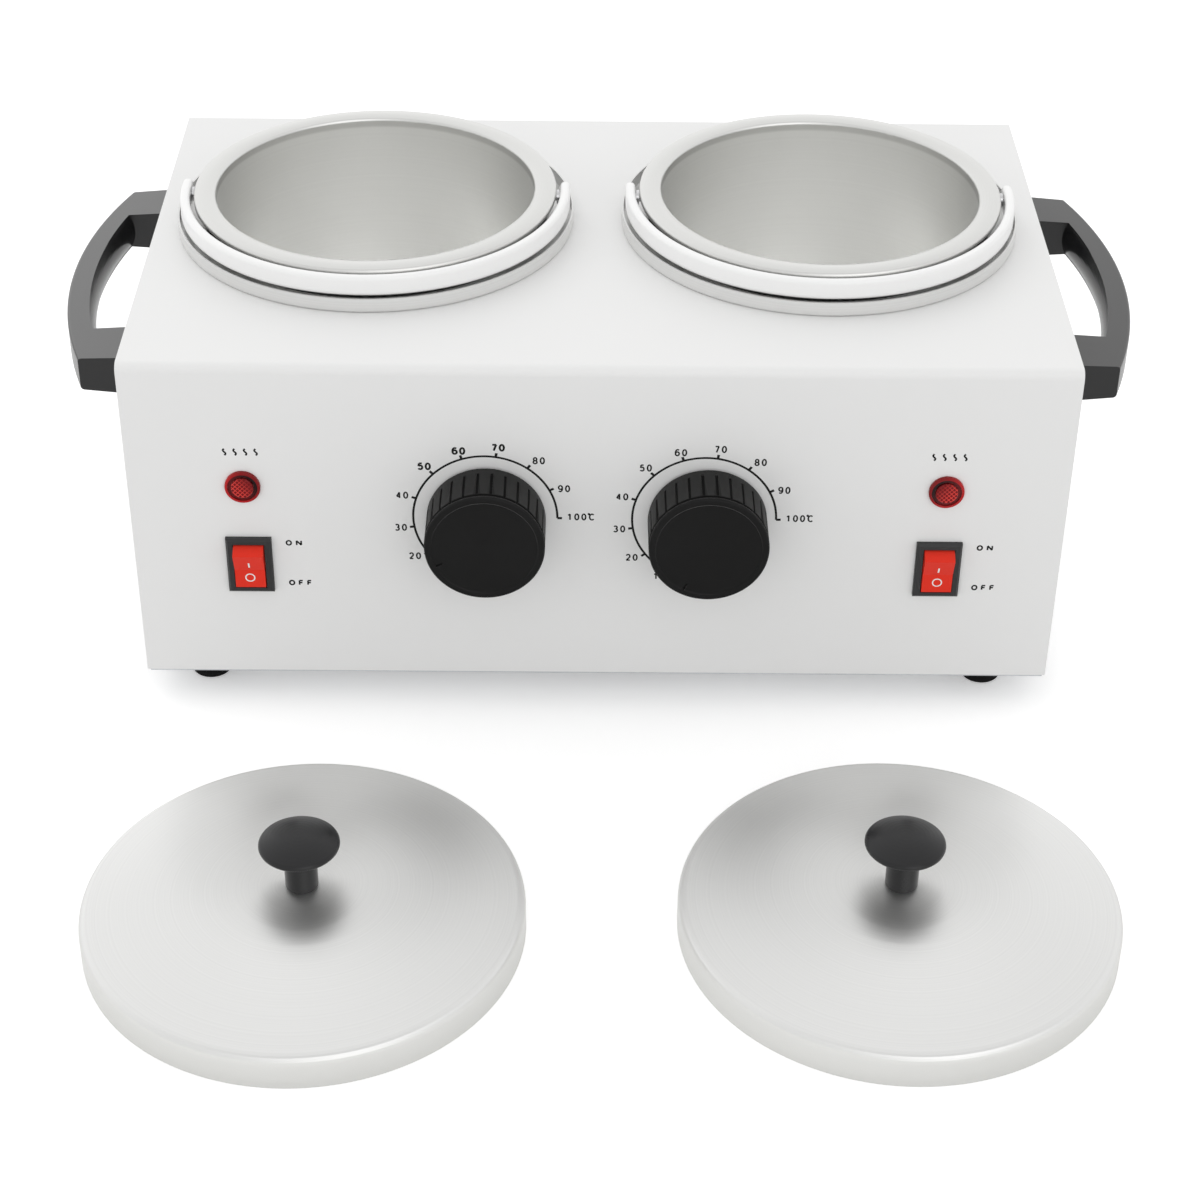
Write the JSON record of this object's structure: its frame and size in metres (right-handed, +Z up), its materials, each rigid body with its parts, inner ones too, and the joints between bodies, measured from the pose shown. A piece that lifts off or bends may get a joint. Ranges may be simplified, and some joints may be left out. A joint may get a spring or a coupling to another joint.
{
  "type": "double wax warmer",
  "caption": "White table-top wax warmer with twin wells, lift-out pots on swinging bails, dials, rocker switches, lamps, side handles and loose domed lids.",
  "frame": {"origin": "on the table, under the middle of the box that holds the warmer and its two lids", "axes": "+X to the right as seen from the dials' side, +Y to the rear, +Z up"},
  "size_m": [0.3578, 0.369, 0.1404],
  "materials": {
    "white_paint": "satin white powder coat",
    "bare_sheet": "zinc-plated sheet",
    "spun_aluminium": "spun, fine turned lines",
    "polished_lid": "polished, fine turned lines",
    "zinc_screw": "zinc plated",
    "pin_steel": "bright",
    "bail_plastic": "white",
    "foot_rubber": "matte",
    "handle_plastic": "fine-grained black",
    "dial_plastic": "semi-matte black",
    "switch_plastic": "black",
    "rocker_red": "red",
    "lens_red": "clear red",
    "lamp_ivory": "ivory",
    "lamp_glass": "clear",
    "knob_plastic": "black",
    "stat_case": "brown moulding",
    "copper_bulb": "drawn copper",
    "mica_band": "dulled by heat",
    "terminal_pa": "ivory",
    "cutout_black": "black",
    "gland_black": "black"
  },
  "bodies": {
    "warmer": {"casing": "white_paint", "side_panel_left": "white_paint", "side_panel_right": "white_paint", "base_plate": "bare_sheet", "base_screws": "zinc_screw", "feet": "foot_rubber", "foot_screws": "zinc_screw", "foot_nuts": "zinc_screw", "handle_left": "handle_plastic", "handle_right": "handle_plastic", "handle_screws": "zinc_screw", "well_left": "spun_aluminium", "well_right": "spun_aluminium", "heater_band_left": "mica_band", "heater_band_right": "mica_band", "band_screws": "zinc_screw", "hold_down_left": "bare_sheet", "hold_down_right": "bare_sheet", "hold_down_nuts": "zinc_screw", "thermal_cutouts": "cutout_black", "thermostat_left": "stat_case", "thermostat_right": "stat_case", "thermostat_screws": "zinc_screw", "sensor_left": "copper_bulb", "sensor_right": "copper_bulb", "lamp_bodies": "lamp_ivory", "lamp_clips": "bare_sheet", "lamp_bulbs": "lamp_glass", "lamp_lens_left": "lens_red", "lamp_lens_right": "lens_red", "switch_left": "switch_plastic", "switch_right": "switch_plastic", "switch_terminals": "zinc_screw", "cord_gland": "gland_black", "gland_nut": "gland_black", "terminal_block": "terminal_pa", "terminal_screws": "zinc_screw", "earth_screw": "zinc_screw"},
    "pot_left": {"pot_left": "spun_aluminium", "pot_ears_left": "spun_aluminium", "bail_pins_left": "pin_steel"},
    "bail_left": {"bail_left": "bail_plastic"},
    "dial_left": {"dial_left": "dial_plastic", "spindle_left": "zinc_screw"},
    "rocker_left": {"rocker_left": "rocker_red"},
    "lid_left": {"lid_left": "polished_lid", "lid_knob_left": "knob_plastic", "lid_screw_left": "zinc_screw"},
    "pot_right": {"pot_right": "spun_aluminium", "pot_ears_right": "spun_aluminium", "bail_pins_right": "pin_steel"},
    "bail_right": {"bail_right": "bail_plastic"},
    "dial_right": {"dial_right": "dial_plastic", "spindle_right": "zinc_screw"},
    "rocker_right": {"rocker_right": "rocker_red"},
    "lid_right": {"lid_right": "polished_lid", "lid_knob_right": "knob_plastic", "lid_screw_right": "zinc_screw"}
  },
  "joints": [
    {"name": "pot_left_lift", "type": "slide", "parent": "warmer", "child": "pot_left", "axis": [0, 0, 1], "range_m": [0, 0.14]},
    {"name": "bail_left_swing", "type": "hinge", "parent": "pot_left", "child": "bail_left", "pos_m": [-0.0758, 0.09745, 0.1362], "axis": [-1, 0, 0], "range_deg": [0, 180]},
    {"name": "dial_left_turn", "type": "hinge", "parent": "warmer", "child": "dial_left", "pos_m": [-0.036, -0.00355, 0.0727], "axis": [0, 1, 0], "range_deg": [-66, 204]},
    {"name": "rocker_left_tilt", "type": "hinge", "parent": "warmer", "child": "rocker_left", "pos_m": [-0.1128, -0.00375, 0.0541], "axis": [-1, 0, 0], "range_deg": [0, 24]},
    {"name": "lid_left_lift", "type": "slide", "parent": "warmer", "child": "lid_left", "axis": [0, 0, 1], "range_m": [0, 0.16]},
    {"name": "pot_right_lift", "type": "slide", "parent": "warmer", "child": "pot_right", "axis": [0, 0, 1], "range_m": [0, 0.14]},
    {"name": "bail_right_swing", "type": "hinge", "parent": "pot_right", "child": "bail_right", "pos_m": [0.0742, 0.09745, 0.1362], "axis": [-1, 0, 0], "range_deg": [0, 180]},
    {"name": "dial_right_turn", "type": "hinge", "parent": "warmer", "child": "dial_right", "pos_m": [0.0348, -0.00355, 0.0727], "axis": [0, 1, 0], "range_deg": [-27, 243]},
    {"name": "rocker_right_tilt", "type": "hinge", "parent": "warmer", "child": "rocker_right", "pos_m": [0.1102, -0.00375, 0.0541], "axis": [-1, 0, 0], "range_deg": [0, 24]},
    {"name": "lid_right_lift", "type": "slide", "parent": "warmer", "child": "lid_right", "axis": [0, 0, 1], "range_m": [0, 0.16]}
  ]
}
